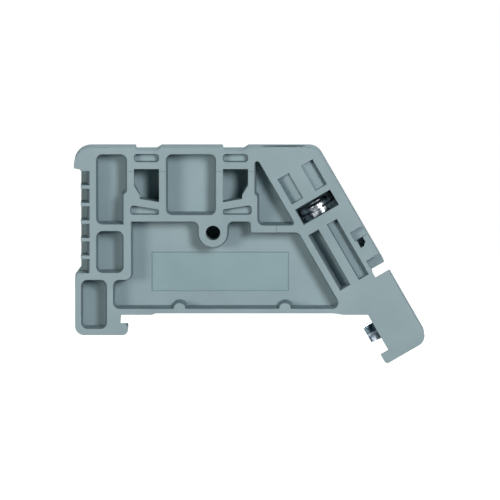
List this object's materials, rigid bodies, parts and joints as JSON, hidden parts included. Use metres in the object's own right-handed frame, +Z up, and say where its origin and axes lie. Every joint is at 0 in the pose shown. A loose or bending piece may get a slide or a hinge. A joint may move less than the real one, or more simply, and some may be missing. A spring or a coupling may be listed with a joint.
{
  "type": "din rail end stop",
  "caption": "Plastic end stop that hooks on one side of a 35 mm top-hat rail and clamps the other side with a slanted screw and a square nut.",
  "frame": {"origin": "on the top face of the rail, half way across the rail and half way through the moulding", "axes": "+X across the rail from the fixed hook to the clamping foot, +Y along the rail away from the ribbed side, +Z up from the rail"},
  "size_m": [0.0493, 0.0086, 0.0304],
  "materials": {
    "grey_plastic": "moulded blue-grey polyamide, satin",
    "screw_steel": "zinc-plated steel",
    "nut_steel": "zinc-plated steel"
  },
  "bodies": {
    "housing": {"moulded_body": "grey_plastic"},
    "screw": {"clamp_screw": "screw_steel"},
    "nut": {"clamp_nut": "nut_steel"}
  },
  "joints": [
    {"name": "screw_turn", "type": "hinge", "parent": "housing", "child": "screw", "pos_m": [0.01068, 0, 0.0141], "axis": [0.5, 0, -0.866], "range_deg": [-1188.5, 936.5]},
    {"name": "nut_slide", "type": "slide", "parent": "housing", "child": "nut", "axis": [-0.5, 0, 0.866], "range_m": [-0.00165, 0.0013]}
  ],
  "couplings": [
    {"joint": "screw_turn", "follows": "nut_slide", "rad_per_m": 12566}
  ]
}
